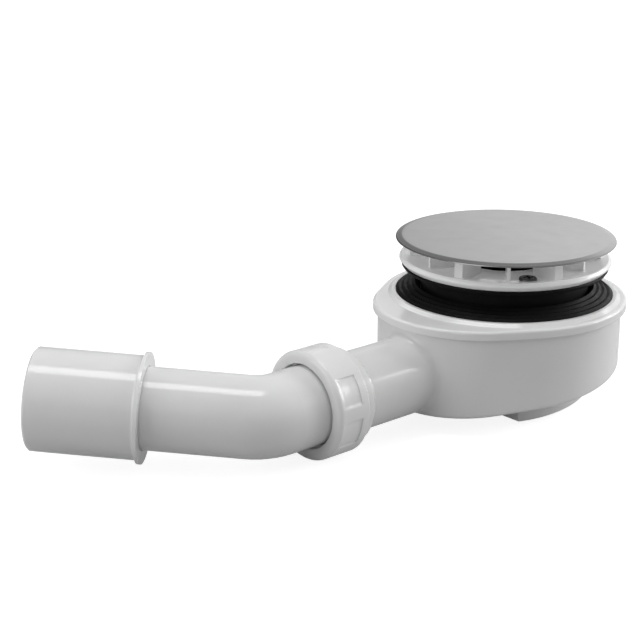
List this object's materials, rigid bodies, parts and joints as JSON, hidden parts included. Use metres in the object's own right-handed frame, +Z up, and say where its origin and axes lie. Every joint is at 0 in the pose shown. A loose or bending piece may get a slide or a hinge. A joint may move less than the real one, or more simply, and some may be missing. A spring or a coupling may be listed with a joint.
{
  "type": "shower trap",
  "caption": "Low shower trap: chromed round cover over a white flange and ribbed black seals, a pot-shaped body with a side outlet, union nut, bent pipe and a stepped pipe adapter.",
  "frame": {"origin": "on the waste axis, on the top face of the shower tray, where the upper seal's underside lies", "axes": "+Z up along the waste axis, -X along the outlet towards the union nut, +Y to the side that the bent pipe turns to"},
  "size_m": [0.323, 0.1595, 0.0891],
  "materials": {
    "chrome": "polished metal cover",
    "white_plastic": "white moulded plastic, satin gloss",
    "rubber": "black moulded rubber",
    "steel": "stainless screw"
  },
  "bodies": {
    "root": {"cover": "chrome", "cover_carrier": "white_plastic", "waste_flange": "white_plastic", "dip_tube": "white_plastic", "trap_body": "white_plastic", "trap_lid": "white_plastic", "union_nut": "white_plastic", "slip_washer": "white_plastic", "elbow": "white_plastic", "adapter": "white_plastic", "upper_seal": "rubber", "lower_seal": "rubber", "dip_tube_ring": "rubber", "cone_seal": "rubber", "adapter_seal": "rubber", "flange_screws": "steel"}
  },
  "joints": []
}
